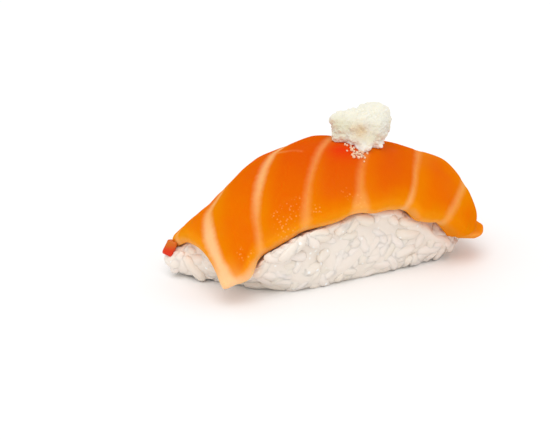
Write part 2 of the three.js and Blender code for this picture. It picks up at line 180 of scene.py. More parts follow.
def slice_plan(u, v):
    """Square coordinates u, v from -1 to 1 give p, q and the distance to the rim. A ring of
    the square is divided by its length in the norm of the superellipse."""
    ring = np.maximum(np.maximum(np.abs(u), np.abs(v)), TINY)
    power = np.where(u < 0, NEAR_POWER, FAR_POWER)
    along, across = np.abs(u) / ring, np.abs(v) / ring
    norm = np.maximum((along ** power + across ** power) ** (1.0 / power), TINY)
    a, b = u / norm, v / norm
    length = np.where(u < 0, NEAR_LENGTH, FAR_LENGTH)
    tongue = TONGUE * np.maximum(-b, 0.0) ** TONGUE_ACROSS * np.abs(a) ** TONGUE_ALONG
    heel = hump(b, *HEEL) * np.abs(a) ** HEEL_ALONG
    p = a * length - np.where(a < 0, tongue + heel, 0.0)
    width = np.where(b < 0, front_width(p), back_width(p))
    steep = np.hypot((along / norm) ** (power - 1) / length, (across / norm) ** (power - 1) / width)
    return p, b * width, (1.0 - ring) / np.maximum(steep, TINY)


plan_edge = np.linspace(-1.0, 1.0, 9)
print("front edge q", np.round(slice_plan(plan_edge, np.full(9, -1.0))[1], 1).tolist())

# %% [markdown]
# ## Fat lines and muscle bands
# The flesh of a salmon is built of thin muscle sheets with white fat between them. A slice
# cuts them on a slant, so the fat shows as pale curved lines that cross the slice about every
# 12 mm. Each line is given by its places at ten stations across the slice, with rounded
# corners between them, and it gets wider, narrower, paler or fainter on its way. The lines
# also shape the surface, because the flesh between them stands a little higher, so the mesh
# and the colours both read them.

# %% Distance to the nearest fat line
# Each line gives its p at these q.
LINE_STATIONS = (-18.0, -14.0, -10.0, -6.0, -2.0, 2.0, 5.0, 8.0, 12.0, 18.0)
# Each line gives its half width in mm and its paleness at these q.
FAT_STATIONS = (-16.5, -13.0, -8.0, -2.0, 5.0)
FAT_LINES = (
    ((-62.0, -60.0, -58.0, -56.0, -54.0, -51.0, -49.0, -45.0, -37.0, -27.0),
     (0.6, 0.6, 0.6, 0.6, 0.6), (0.5, 0.5, 0.5, 0.5, 0.5)),
    ((-50.0, -48.5, -46.5, -44.5, -42.4, -39.8, -37.6, -33.5, -25.0, -16.0),
     (0.6, 0.6, 0.6, 0.5, 0.4), (0.5, 0.5, 0.5, 0.5, 0.5)),
    ((-38.6, -37.2, -35.4, -33.4, -31.1, -28.3, -26.3, -21.5, -12.0, -4.0),
     (1.5, 1.2, 0.75, 0.95, 0.5), (1.0, 1.0, 1.0, 0.95, 0.6)),
    ((-33.5, -29.8, -26.0, -22.4, -17.6, -11.6, -7.0, -2.5, 4.0, 12.0),
     (0.5, 0.5, 0.3, 0.6, 0.5), (0.5, 0.44, 0.42, 0.72, 0.72)),
    ((-23.0, -18.4, -13.8, -8.3, -2.7, 2.6, 6.5, 10.5, 16.0, 23.0),
     (1.0, 0.7, 0.25, 0.3, 0.6), (0.36, 0.38, 0.38, 0.46, 0.5)),
    ((-7.4, -3.6, -0.3, 3.9, 8.0, 12.5, 16.0, 19.5, 24.0, 30.0),
     (2.1, 0.6, 0.3, 0.25, 0.3), (0.45, 0.35, 0.27, 0.33, 0.4)),
    ((7.8, 11.4, 13.6, 16.6, 20.2, 24.0, 27.0, 30.0, 34.0, 39.0),
     (0.3, 0.35, 0.35, 0.4, 0.4), (0.75, 0.46, 0.38, 0.38, 0.4)),
    ((19.9, 23.6, 26.8, 29.3, 32.3, 36.0, 39.0, 42.0, 46.0, 52.0),
     (0.6, 0.6, 0.5, 0.4, 0.4), (0.4, 0.4, 0.4, 0.4, 0.4)),
    ((33.3, 37.0, 40.2, 42.7, 45.7, 49.4, 52.0, 55.0, 59.0, 65.0),
     (0.4, 0.4, 0.4, 0.4, 0.4), (0.3, 0.3, 0.3, 0.3, 0.3)),
)
# A line's corners at its stations are rounded over this many mm to each side.
LINE_ROUND = 1.5
# The side branch: p and q of its two ends, how much wider its root is than its tip, and how
# far below 0 the tip's half width lies, so that it fades out. Then its paleness.
BRANCH_ENDS = np.array([[-9.4, 3.4], [-6.1, -0.9]])
BRANCH_TAPER, BRANCH_FADE, BRANCH_PALENESS = 0.35, 0.25, 0.5
# Farther away than any line, in mm.
FAR_AWAY = 1e3


def fat_gap(p, q):
    """For every place, the distance to the nearest line less that line's half width, the
    nearest line's paleness, and how far the place lies along its band, from 0 at the line
    before it to 1 at the line after it. A distance is measured at right angles to the slant."""
    best, pale = np.full(np.shape(p), FAR_AWAY), np.zeros(np.shape(p))
    before, after = np.full(np.shape(p), -FAR_AWAY), np.full(np.shape(p), FAR_AWAY)
    shifts = (-LINE_ROUND, 0.0, LINE_ROUND)
    for places, halves, palenesses in FAT_LINES:
        back, here, on = (np.interp(q + shift, LINE_STATIONS, places) for shift in shifts)
        line, steep = (back + here + on) / 3.0, (on - back) / (2.0 * LINE_ROUND)
        gap = np.abs(p - line) / np.sqrt(1.0 + steep ** 2) - np.interp(q, FAT_STATIONS, halves)
        pale = np.where(gap < best, np.interp(q, FAT_STATIONS, palenesses), pale)
        best = np.minimum(best, gap)
        before = np.where(line < p, np.maximum(before, line), before)
        after = np.where(line > p, np.minimum(after, line), after)
    return best, pale, (p - before) / (after - before)


def fat_branch(p, q):
    """A thin side branch near the crown: the distance to the straight line between its ends,
    less a half width that shrinks away from the root."""
    start, way = BRANCH_ENDS[0], BRANCH_ENDS[1] - BRANCH_ENDS[0]
    t = np.clip(((p - start[0]) * way[0] + (q - start[1]) * way[1]) / (way @ way), 0.0, 1.0)
    away = np.hypot(p - start[0] - t * way[0], q - start[1] - t * way[1])
    return away - BRANCH_TAPER * (1.0 - t) ** 2 + BRANCH_FADE


print("gap at the crown", round(float(fat_gap(np.array(0.0), np.array(0.0))[0]), 2), "mm")

# %% [markdown]
# ## Putting arrays into meshes
# Every piece is worked out as whole arrays of points. One helper turns points and faces into
# a mesh object, welds the shared edge where a piece asks for it, and stores numbers that
# belong to the points, so that a material can read them later.

# %% Helpers for meshes
# The pitches of soft noise spread between these shares of the one that is asked for.
PITCH_SPREAD = (0.7, 1.4)


def waves(points, size, pitch, count, seed):
    """Soft noise of a size: sine waves in random directions, with about the given pitch."""
    random = np.random.default_rng(seed)
    way = random.normal(size=(count, points.shape[-1]))
    way /= np.linalg.norm(way, axis=1, keepdims=True)
    rate = 2.0 * np.pi / (pitch * random.uniform(*PITCH_SPREAD, count))
    phase = random.uniform(0.0, 2.0 * np.pi, count)
    return size * (np.sin(points @ (way * rate[:, None]).T + phase).sum(-1) * math.sqrt(2.0 / count))


def grid_faces(rows, columns, start=0):
    """Quads between neighbouring points of a grid that is stored row by row."""
    i, j = np.meshgrid(np.arange(rows - 1), np.arange(columns - 1), indexing="ij")
    a = start + (i * columns + j).ravel()
    return np.stack([a, a + columns, a + columns + 1, a + 1], -1)


def make_mesh(name, points, faces, marks=None, uv=None, weld=0.0):
    """Makes an object from points in millimetres, with point attributes and a UV map."""
    mesh = bpy.data.meshes.new(name)
    mesh.from_pydata((points * MM).tolist(), [], faces.tolist())
    for key, values in (marks or {}).items():
        mesh.attributes.new(key, "FLOAT", "POINT").data.foreach_set("value", values.astype(np.float32))
    if uv is not None:
        corner = np.zeros(len(mesh.loops), np.int32)
        mesh.loops.foreach_get("vertex_index", corner)
        mesh.uv_layers.new(name="sheet").data.foreach_set("uv", uv[corner].astype(np.float32).ravel())
    piece = bpy.data.objects.new(name, mesh)
    bpy.context.scene.collection.objects.link(piece)
    mesh.polygons.foreach_set("use_smooth", np.ones(len(mesh.polygons), bool))
    if weld:
        merge = piece.modifiers.new("weld", "WELD")
        merge.merge_threshold = weld * MM
    mesh.update()
    print(name, len(mesh.vertices), "points", len(mesh.polygons), "faces")
    return piece


# %% [markdown]
# ## The slice of salmon
# The top of a fresh slice isn't a smooth roll. Each muscle band bulges a little, the fat
# lines lie in shallow grooves, and the cut edges waver. All of it is added to the height of
# the top before the slab is bent, so it follows the drape. The top and the underside share
# their rim, which makes the slice one closed skin.

# %% Sizes of the relief and of the rim
SLICE_ROWS, SLICE_COLUMNS = 301, 141
# The power that crowds the grid towards the rim.
RIM_CROWD = 1.9
# Radii of the rim on top and below, along the slice and at its far end, and the start and the
# reach of the change.
TOP_ROUND, FAR_TOP_ROUND, TOP_CHANGE = 1.7, 0.9, (34.0, 3.0)
UNDER_ROUND, FAR_UNDER_ROUND, UNDER_CHANGE = 3.0, 1.2, (20.0, 6.0)
# How much thinner the near end is, from where and over which reach.
END_THINNING = (2.3, 29.0, 5.0)
# A band: its level, how much lower it is at a line, and the gap and reach of the change.
BAND_LEVEL, BAND_DROP, BAND_START, BAND_REACH = 0.14, 0.38, -0.5, 5.5
GROOVE_DEPTH, GROOVE_REACH = 0.12, 0.5
# Size, pitch, number of waves and seed of the hand-cut face's slow wavers.
WAVERS = ((0.10, 14.0, 9, 3), (0.035, 4.5, 12, 4))
# Height, place and reach of the crest over the near half of the back and of the dip beside it,
# then the start and the reach with which both begin across the slice.
CREST, CREST_DIP, CREST_ACROSS = (1.0, -12.0, 6.5), (-0.5, -23.5, 4.0), (-5.0, 9.0)
# The same for the far bend, which fades towards both edges, and the drop of the last stretch.
BEND_CREST, BEND_ACROSS = (0.8, 25.5, 6.5), (-16.0, 7.0)
FAR_DROP = (0.40, 33.0, 3.0)
# The lip at the far front corner: height, distance from the rim and reach, then where it
# begins along and across.
LIP, LIP_ALONG, LIP_ACROSS = (1.44, 1.0, 0.8), (34.5, 1.5), (7.6, 2.0)
# The cut edge: how deep it is felt, how far it stands back, its waver, and the notch that each
# fat line makes in it.
EDGE_REACH, EDGE_BACK, EDGE_WAVER = 4.0, 0.23, (0.08, 12.0, 5, 8)
NOTCH_DEPTH, NOTCH_REACH = 0.3, 1.2


def round_drop(inset, radius):
    """A quarter circle: how far the surface has dropped at a distance from the rim."""
    t = np.clip(1.0 - inset / radius, 0.0, 1.0)
    return radius * (1.0 - np.sqrt(1.0 - t * t))


def slice_top(p, q, inset):
    """Height of the top: the thickness, less the round rim, with bulging bands between the
    fat lines, a groove at each line, a slow waver of the hand-cut face, and a crest that is
    thicker over the near half of the back and over the far bend."""
    gap = fat_gap(p, q)[0]
    flat = np.stack([p, q], -1)
    band = BAND_LEVEL + BAND_DROP * (smooth((gap - BAND_START) / BAND_REACH) - 1.0)
    groove = -GROOVE_DEPTH * bell(np.maximum(gap, 0.0) / GROOVE_REACH)
    waver = sum(waves(flat, *one) for one in WAVERS)
    inner = smooth(inset / TOP_ROUND)
    rim_round = TOP_ROUND + ramp(p, FAR_TOP_ROUND - TOP_ROUND, *TOP_CHANGE)
    crest = (hump(p, *CREST) + hump(p, *CREST_DIP)) * ramp(q, 1.0, *CREST_ACROSS)
    crest = crest + hump(p, *BEND_CREST) * ramp(-np.abs(q), 1.0, *BEND_ACROSS) - ramp(p, *FAR_DROP)
    lip = hump(inset, *LIP) * ramp(p, 1.0, *LIP_ALONG) * ramp(-q, 1.0, *LIP_ACROSS)
    return THICKNESS + (band + groove + waver + crest) * inner + lip - round_drop(inset, rim_round)


def slice_under(p, inset):
    """Height of the underside: it rises at the near end, where the slice gets thinner, and in
    a round towards the rim."""
    rise = ramp(-p, *END_THINNING)
    rim_round = UNDER_ROUND + ramp(p, FAR_UNDER_ROUND - UNDER_ROUND, *UNDER_CHANGE)
    return rise + round_drop(inset, rim_round * (1.0 - rise / (THICKNESS - TOP_ROUND)))


crown_place = np.array(0.0)
print("thickness at the crown", round(float(slice_top(crown_place, crown_place, 50.0)), 2), "mm")

# %% [markdown]
# A material can't see where a place lies on the slice, so the mesh carries that along: the
# gap to the fat, the distance to the rim, and a mark for each spot that looks different, such
# as the painted shade in front of the cheese or the thin pale tip of the tongue.

# %% Make the slice
# p, q and reach in mm of the painted shade in front of the cheese, and of the thin pale tip.
CHEESE_SHADE_SPOT = (-0.6, -4.8, 2.6)
PALE_TIP = (-37.8, -12.6, 3.0)
# p, q and reach in mm of the places where small painted glints show.
GLINT_SPOTS = (
    (-17.5, -9.6, 1.8), (-14.8, -8.9, 1.0), (-29.8, -10.2, 1.5), (-4.6, -14.6, 1.6),
    (-6.0, -12.5, 1.0), (-20.0, -9.0, 1.0), (-21.0, -11.6, 1.8), (-13.2, -12.4, 1.2),
)
# Start and reach of the mark for the far cut edge, and of the one for the near front corner.
CUT_EDGE, CORNER_ALONG, CORNER_ACROSS = (17.0, 7.0), (27.0, 6.0), (6.0, 4.0)
# The UV map counts the flat slab in lengths of 100 mm from a corner outside the slice.
UV_LENGTH = 100.0


def spot(p, q, middle_p, middle_q, reach):
    """A round mark on the slice: a bell of the distance to its middle."""
    return bell(np.hypot(p - middle_p, q - middle_q) / reach)


def slice_marks(p, q, inset):
    """The numbers that the finish of the salmon reads, for every place of the slab."""
    gap, pale, band = fat_gap(p, q)
    branch = fat_branch(p, q)
    return {
        "fat_gap": np.minimum(gap, branch),
        "paleness": np.where(branch < gap, BRANCH_PALENESS, pale),
        "band": band,
        "inset": inset,
        "cut_edge": ramp(p, 1.0, *CUT_EDGE),
        "near_corner": ramp(-p, 1.0, *CORNER_ALONG) * ramp(-q, 1.0, *CORNER_ACROSS),
        "cheese_shade": spot(p, q, *CHEESE_SHADE_SPOT),
        "pale_tip": spot(p, q, *PALE_TIP),
        "painted_glints": sum(spot(p, q, *place) for place in GLINT_SPOTS),
    }


def make_slice():
    """The grid of the square, crowded towards the rim, bent twice: as top and as underside."""
    def crowd(count):
        t = np.linspace(-1.0, 1.0, count)
        return np.sign(t) * (1.0 - (1.0 - np.abs(t)) ** RIM_CROWD)
    u, v = np.meshgrid(crowd(SLICE_ROWS), crowd(SLICE_COLUMNS), indexing="ij")
    p, q, inset = slice_plan(u, v)
    edge = np.exp(-np.maximum(inset, 0.0) / EDGE_REACH)
    notch = NOTCH_DEPTH * np.exp(-np.maximum(fat_gap(p, q)[0], 0.0) / NOTCH_REACH)
    q = q + edge * np.sign(q) * (waves(p[..., None], *EDGE_WAVER) - EDGE_BACK - notch)
    top = sheet(p, q, slice_top(p, q, inset))
    under = sheet(p, q, slice_under(p, inset))
    points = np.concatenate([top.reshape(-1, 3), under.reshape(-1, 3)])
    count = p.size
    upper = grid_faces(SLICE_ROWS, SLICE_COLUMNS)
    lower = grid_faces(SLICE_ROWS, SLICE_COLUMNS, count)[:, ::-1]
    index = np.arange(count).reshape(p.shape)
    ring = np.concatenate([index[:-1, 0], index[-1, :-1], index[:0:-1, -1], index[0, :0:-1]])
    after = np.roll(ring, -1)
    wall = np.stack([ring + count, after + count, after, ring], -1)
    marks = {name: np.tile(values.ravel(), 2) for name, values in slice_marks(p, q, inset).items()}
    uv = np.tile(np.stack([p.ravel(), q.ravel()], -1) / UV_LENGTH + 0.5, (2, 1))
    return make_mesh("salmon", points, np.concatenate([upper, lower, wall]), marks, uv)


salmon = make_slice()

# %% [markdown]
# ## A scrap of flesh
# Where the knife ended its cut, a small red scrap hangs from the back corner of the near end
# and rests on the rice. It is a block with rounded edges, set along three directions of its
# own.

# %% Make the scrap
SCRAP_PLACE = np.array([-34.6, 9.7, 5.9])
SCRAP_SIZE = np.array([2.3, 1.9, 3.3])
SCRAP_ACROSS, SCRAP_RISE = np.array([0.57, -0.77, -0.31]), np.array([0.45, 0.0, 0.89])
# The power that rounds the block: the higher, the sharper its edges. Then its waver.
SCRAP_POWER, SCRAP_WAVER = 6, (0.05, 1.6, 8, 71)


def make_scrap(steps=13):
    """The six faces of a cube, rounded by the norm of a power, wavered a little and turned."""
    t = np.linspace(-1.0, 1.0, steps)
    a, b = (grid.ravel() for grid in np.meshgrid(t, t, indexing="ij"))
    one = np.ones_like(a)
    sides = [(a, b, one), (b, a, -one), (one, a, b), (-one, b, a), (b, one, a), (a, -one, b)]
    cube = np.concatenate([np.stack(side, -1) for side in sides])
    cube = cube / (np.abs(cube) ** SCRAP_POWER).sum(1, keepdims=True) ** (1.0 / SCRAP_POWER)
    cube = cube + waves(cube, *SCRAP_WAVER)[:, None]
    side = SCRAP_ACROSS / np.linalg.norm(SCRAP_ACROSS)
    back = np.cross(SCRAP_RISE, side)
    back = back / np.linalg.norm(back)
    axes = np.stack([side, back, np.cross(side, back)])
    centre = SCRAP_PLACE - [CENTRE[0], CENTRE[1], 0.0]
    points = (cube * SCRAP_SIZE / 2.0) @ axes + centre
    faces = np.concatenate([grid_faces(steps, steps, k * steps * steps) for k in range(6)])
    return make_mesh("salmon_scrap", points, faces, weld=0.01)


scrap = make_scrap()

# %% [markdown]
# ## The pad of rice
# The pad is pressed by hand from cooked short-grain rice. It is a core that carries the form,
# and on it lie the grains that show. The core comes first: its plan is a superellipse that is
# widest near the table and closes in a dome. Whatever would reach into the slice is pressed
# back to the slice's underside, and right below the rim the rice swells a little, because the
# hand presses the fish into it.

# %% Wall of the pad
PAD_WIDTH, PAD_HEIGHT, PAD_BELLY, PAD_DOME = 14.0, 23.2, 0.24, 3.0
PAD_NEAR, PAD_FAR = 32.5, 29.4
PAD_NEAR_POWER, PAD_FAR_POWER = 8.0, 2.94
PAD_MIDDLE = (1.1, -0.4)
# Shares by which the near end, the far end and the sides draw in at the foot.
NEAR_FOOT, FAR_FOOT, SIDE_FOOT = 0.155, 0.22, 0.16
# The slant of the near end at the foot, how much of it is lost, and by which height.
SLANT, SLANT_LOSS, SLANT_HEIGHT = 0.95, 0.85, 9.0


def pad_wall(angle, z, sunk=0.0):
    """Place on the wall of the pad at an angle and a height, moved inwards by a distance. The
    foot of the near end is cut on a slant: x moves with y there, less and less with height."""
    t = z / PAD_HEIGHT
    foot = np.maximum((PAD_BELLY - t) / PAD_BELLY, 0.0) ** 2
    over = np.maximum((t - PAD_BELLY) / (1.0 - PAD_BELLY), 0.0)
    dome = np.maximum(1.0 - over ** PAD_DOME, 0.0) ** (1.0 / PAD_DOME)
    c, s = np.cos(angle), np.sin(angle)
    near = c < 0
    near_length, far_length = PAD_NEAR * (1.0 - NEAR_FOOT * foot), PAD_FAR * (1.0 - FAR_FOOT * foot)
    length = np.where(near, near_length, far_length) * dome
    width = PAD_WIDTH * (1.0 - SIDE_FOOT * foot) * dome
    power = np.where(near, PAD_NEAR_POWER, PAD_FAR_POWER)
    radius = (np.abs(c) ** power + np.abs(s) ** power) ** (-1.0 / power)
    x = np.maximum(length - sunk, 0.0) * radius * c
    y = np.maximum(width - sunk, 0.0) * radius * s
    slant = SLANT - SLANT_LOSS * smooth(z / SLANT_HEIGHT)
    x = x - np.where(near, slant * y * (x / PAD_NEAR) ** 2, 0.0)
    x, y = x + PAD_MIDDLE[0] - CENTRE[0], y + PAD_MIDDLE[1] - CENTRE[1]
    return np.stack([x, y, z + 0.0 * x], -1)


belly = pad_wall(np.array([0.0, np.pi]), np.full(2, PAD_BELLY * PAD_HEIGHT))
print("pad ends at x", np.round(belly[:, 0], 1).tolist(), "mm")

# %% [markdown]
# The slice lies on the rice, so the rice has to know where the slice is. Places go through
# the same bend backwards, which tells how deep they lie in the slab, and come back to just
# under it. The same distances say how much of the fish's colour is painted onto the rice as
# reflected light.

# %% Where the rice meets the slice
PRESS_GAP = 0.12
# How far the tongue hangs past the near end of the slice's plan.
TONGUE_MARGIN = 2.0
# How far the painted reflected colour of the fish reaches on the rice, in mm.
BOUNCE_REACH = 1.1
# The level of the slice's thickness at which its rim meets the rice.
CONTACT = 2.4
# The swelling: in mm for the core and for the grains. Its strength, with what the near half
# adds, from where and over which reach. The sine of the angle at which it sets in, with its
# reach, and how far below the contact it lies and how far it spreads.
CORE_SWELL, GRAIN_SWELL = 1.1, 1.3
SWELL, NEAR_SWELL, SWELL_SIDES = 1.35, (0.15, 4.0, 10.0), (0.72, 0.08)
SWELL_BELOW, SWELL_REACH = 0.6, 1.7


def press_under_slice(points):
    """Pushes every place that lies in or above the slice down to just under its underside,
    and lets it rise into the round of the lower rim."""
    p, q, h = unbend(points)
    side = np.where(q < 0, front_width(p), back_width(p))
    inside = (p > -NEAR_LENGTH - TONGUE_MARGIN) & (p < FAR_LENGTH) & (np.abs(q) < side)
    lowest = slice_under(p, side - np.abs(q)) - PRESS_GAP
    pressed = sheet(p, q, np.minimum(h, lowest))
    out = np.where((inside & (h > lowest))[..., None], pressed, points)
    out[..., 2] = np.maximum(out[..., 2], 0.0)
    return out


def fish_bounce(points):
    """How much of the fish's colour is painted onto the rice as reflected light: 1 right at the
    slice, and e times less for every reach away from it."""
    p, q, h = unbend(points)
    side = np.where(q < 0, front_width(p), back_width(p))
    aside = np.maximum(np.abs(q) - side, 0.0)
    beyond = np.maximum(np.maximum(-NEAR_LENGTH - TONGUE_MARGIN - p, p - FAR_LENGTH), 0.0)
    return np.exp(-np.hypot(np.hypot(aside, beyond), np.minimum(h, 0.0)) / BOUNCE_REACH)


def rim_height(angle, h=0.0, steps=400):
    """Height of the slice's rim, at a level h of its thickness, seen from the axis of the pad."""
    turn = np.linspace(0.0, 2.0 * np.pi, steps, endpoint=False)
    ring = np.maximum(np.abs(np.cos(turn)), np.abs(np.sin(turn)))
    p, q, _ = slice_plan(np.cos(turn) / ring, np.sin(turn) / ring)
    rim = sheet(p, q, h)
    x, y = rim[:, 0] + CENTRE[0] - PAD_MIDDLE[0], rim[:, 1] + CENTRE[1] - PAD_MIDDLE[1]
    seen = np.arctan2(y / PAD_WIDTH, x / np.where(x < 0, PAD_NEAR, PAD_FAR))
    order = np.argsort(seen)
    return np.interp(angle, seen[order], rim[order, 2], period=2.0 * np.pi)


def contact_swell(angle, z):
    """Share of the swelling along the long sides, where the fish is pressed into the rice."""
    side = ramp(np.abs(np.sin(angle)), 1.0, *SWELL_SIDES)
    side = side * (SWELL + ramp(-pad_wall(angle, z)[..., 0], *NEAR_SWELL))
    return side * bell((z - rim_height(angle, CONTACT) + SWELL_BELOW) / SWELL_REACH)


front = np.array([-np.pi / 2])
print("rim at the front", round(float(rim_height(front)[0]), 1), "mm above the table")

# %% [markdown]
# The core is a stack of rings with a flat foot and a closed top. It lies a little deeper than
# the wall, so that the grains lie in it with part of their body, and it is uneven like them.

# %% Make the core
# How much lower than the pad's dome it ends, how deep it lies in the wall, its waver, and its
# shade, which goes from 0 to 1 over the grains.
CORE_LOWER, CORE_SUNK = 1.3, 0.38
CORE_WAVER = (0.15, 4.0, 14, 21)
CORE_SHADE = 0.5


def make_core(rows=40, columns=160):
    """Rings of the wall from the foot to the crown, closed by a flat foot and a top point."""
    angle = np.linspace(-np.pi, np.pi, columns, endpoint=False)
    z = (PAD_HEIGHT - CORE_LOWER) * np.sin(np.linspace(0.0, np.pi / 2, rows))
    ring_angle, ring_z = np.meshgrid(angle, z)
    wall = pad_wall(ring_angle, ring_z, CORE_SUNK - CORE_SWELL * contact_swell(ring_angle, ring_z))
    wall = wall + waves(wall, *CORE_WAVER)[..., None] * np.array([1.0, 1.0, 0.0])
    points = press_under_slice(wall.reshape(-1, 3))
    faces = grid_faces(rows, columns)[:, ::-1]
    seam = np.arange(rows - 1) * columns
    close = np.stack([seam, seam + columns - 1, seam + 2 * columns - 1, seam + columns], -1)[:, ::-1]
    foot = np.array([[points[:columns, 0].mean(), points[:columns, 1].mean(), 0.0]])
    last = np.arange(columns)
    after = (last + 1) % columns
    middle = np.full(columns, rows * columns)
    fan = np.stack([after, last, middle], -1)
    top = np.array([points[-columns:].mean(0)])
    cap = np.stack([last, after, middle + 1], -1) + [(rows - 1) * columns, (rows - 1) * columns, 0]
    mesh_faces = np.concatenate([faces, close]).tolist() + fan.tolist() + cap.tolist()
    piece_points = np.concatenate([points, foot, top])
    marks = {"fish_bounce": fish_bounce(piece_points), "grain_shade": np.full(len(piece_points), CORE_SHADE)}
    return make_mesh("rice_core", piece_points, np.array(mesh_faces, dtype=object), marks)


rice_core = make_core()

# %% [markdown]
# ## The grains
# A cooked grain is a plump rod with blunt ends, a little bent, about 6 mm long. One grain has
# only a few dozen faces, because there are hundreds. They lie in loose rows round the pad,
# each turned by its own random angle in the plane of the wall, and they are pressed into
# each other, against the slice and flat on the table, as the hand and the board press them.

# %% The shape of one grain
# Length and width, and half its thickness as a share of its width.
GRAIN_LENGTH, GRAIN_WIDTH, GRAIN_FLATNESS = 6.1, 2.75, 0.35
GRAIN_SIDES, GRAIN_RINGS = 8, 7
# Powers of the superellipse that makes its ends blunt.
GRAIN_ALONG, GRAIN_ROUND = 2.6, 2.2


def grain_shape():
    """Rings along a rod: the radius follows a superellipse, so that the ends are blunt."""
    along = -np.cos(np.linspace(0.0, np.pi, GRAIN_RINGS))
    radius = np.maximum(1.0 - np.abs(along) ** GRAIN_ALONG, 0.0) ** (1.0 / GRAIN_ROUND)
    turn = np.linspace(0.0, 2.0 * np.pi, GRAIN_SIDES, endpoint=False)
    x = radius[1:-1, None] * np.cos(turn)
    y = radius[1:-1, None] * np.sin(turn)
    z = np.repeat(along[1:-1, None], GRAIN_SIDES, 1)
    rings = np.stack([x, y, z], -1).reshape(-1, 3)
    points = np.concatenate([[[0.0, 0.0, -1.0]], rings, [[0.0, 0.0, 1.0]]])
    side = np.arange(GRAIN_SIDES)
    after = (side + 1) % GRAIN_SIDES
    start = 1 + np.arange(GRAIN_RINGS - 3)[:, None] * GRAIN_SIDES
    a, b = start + side, start + after
    quads = np.stack([a, b, b + GRAIN_SIDES, a + GRAIN_SIDES], -1).reshape(-1, 4)
    last = 1 + (GRAIN_RINGS - 3) * GRAIN_SIDES
    lower = np.stack([0 * side, 1 + after, 1 + side], -1)
    upper = np.stack([0 * side + len(points) - 1, last + side, last + after], -1)
    return points, quads, np.stack([lower, upper], 1).reshape(-1, 3)


GRAIN_SHAPE, GRAIN_QUADS, GRAIN_TRIANGLES = grain_shape()
print("one grain has", len(GRAIN_QUADS) + len(GRAIN_TRIANGLES), "faces")

# %% [markdown]
# Two layers lie on the pad: a dense one that lies deep, and a loose one on top. They leave
# about a third of the core's wall bare, which shows as smooth patches between the grains. A
# place in a layer is a step along a row, moved at random, and then the grain leans, turns and
# bends by random amounts of its own.

# %% Lay the grains
# Each layer: height of a row, step along it, depth of the grains in the wall, and two seeds.
GRAIN_LAYERS = ((2.0, 4.3, 1.2, 31, 41), (3.1, 7.4, 1.0, 32, 42))
SHADE_SEED = 40
# The first row's height in rows, the spread of a place along and across its row as shares of
# the steps, the lowest place, and how far above the rim grains are still laid.
FIRST_ROW, ALONG_SPREAD, UP_SPREAD, LOWEST, ABOVE_RIM = 0.45, 0.12, 0.22, 0.5, 2.5
# The spread of a grain's lean, of its turn in the wall in radians and of its depth in mm, the
# range of its size, and its largest bow in mm, with the square of the place along it where
# the bow is 0.
LEAN_SPREAD, TURN_SPREAD, DEPTH_SPREAD = 0.14, 0.75, 0.13
SIZE_RANGE, BOW, BOW_LEVEL = (0.88, 1.1), 0.5, 0.4


def grain_places(row_height, spacing, seed, samples=1500):
    """Rows of places round the wall, at even steps of its length, with a random jitter."""
    random = np.random.default_rng(seed)
    fine = np.linspace(-np.pi, np.pi, samples)
    angles, heights = [], []
    for row in range(int(PAD_HEIGHT / row_height)):
        z = (row + FIRST_ROW) * row_height
        wall = pad_wall(fine, np.full_like(fine, z))
        length = np.concatenate([[0.0], np.cumsum(np.linalg.norm(np.diff(wall, axis=0), axis=1))])
        steps = np.arange(random.uniform(0.0, spacing), length[-1], spacing)
        moved = steps + random.normal(0.0, ALONG_SPREAD * spacing, len(steps))
        angles.append(np.interp(moved, length, fine))
        heights.append(z + random.normal(0.0, UP_SPREAD * row_height, len(steps)))
    angle, height = np.concatenate(angles), np.maximum(np.concatenate(heights), LOWEST)
    shown = height < rim_height(angle) + ABOVE_RIM
    return angle[shown], height[shown]


def unit_rows(vectors):
    """Each row divided by its own length."""
    return vectors / np.linalg.norm(vectors, axis=1, keepdims=True)


def lay_grains(angle, height, depth, seed, step=0.01):
    """Turns the grain's shape into every place: its length lies in the wall, near level, and
    its thinnest side points out of the wall."""
    random = np.random.default_rng(seed)
    around = pad_wall(angle + step, height) - pad_wall(angle - step, height)
    up = pad_wall(angle, height + step) - pad_wall(angle, height - step)
    out = unit_rows(np.cross(around, up))
    out = unit_rows(out + random.normal(0.0, LEAN_SPREAD, out.shape))
    level = unit_rows(np.stack([-out[:, 1], out[:, 0], np.zeros(len(out))], -1))
    turn = random.normal(0.0, TURN_SPREAD, len(out))[:, None]
    long = level * np.cos(turn) + np.cross(out, level) * np.sin(turn)
    side = np.cross(long, out)
    size = random.uniform(*SIZE_RANGE, (len(out), 1, 1))
    plump = GRAIN_SHAPE * np.array([GRAIN_WIDTH / 2, GRAIN_FLATNESS * GRAIN_WIDTH, GRAIN_LENGTH / 2])
    bow = random.uniform(-BOW, BOW, (len(out), 1)) * (GRAIN_SHAPE[:, 2] ** 2 - BOW_LEVEL)[None, :]
    local = np.repeat(plump[None], len(out), 0) * size
    local[..., 0] += bow
    axes = np.stack([side, out, long], 1)
    centre = pad_wall(angle, height, depth)
    centre = centre + out * (GRAIN_SWELL * contact_swell(angle, height))[:, None]
    centre = centre + out * random.normal(0.0, DEPTH_SPREAD, (len(out), 1))
    return np.einsum("nvi,nij->nvj", local, axes) + centre[:, None, :]


def make_grains():
    """A dense first layer and a loose second one, joined in one mesh."""
    blocks = []
    for row_height, spacing, depth, place_seed, lay_seed in GRAIN_LAYERS:
        angle, height = grain_places(row_height, spacing, place_seed)
        blocks.append(lay_grains(angle, height, depth, lay_seed))
    points = np.concatenate(blocks)
    count, each = points.shape[:2]
    offset = (np.arange(count) * each)[:, None, None]
    faces = (GRAIN_QUADS + offset).reshape(-1, 4).tolist()
    faces += (GRAIN_TRIANGLES + offset).reshape(-1, 3).tolist()
    shade = np.repeat(np.random.default_rng(SHADE_SEED).uniform(0.0, 1.0, count), each)
    flat = press_under_slice(points.reshape(-1, 3))
    print(count, "grains")
    marks = {"grain_shade": shade, "fish_bounce": fish_bounce(flat)}
    return make_mesh("rice_grains", flat, np.array(faces, dtype=object), marks)


rice_grains = make_grains()

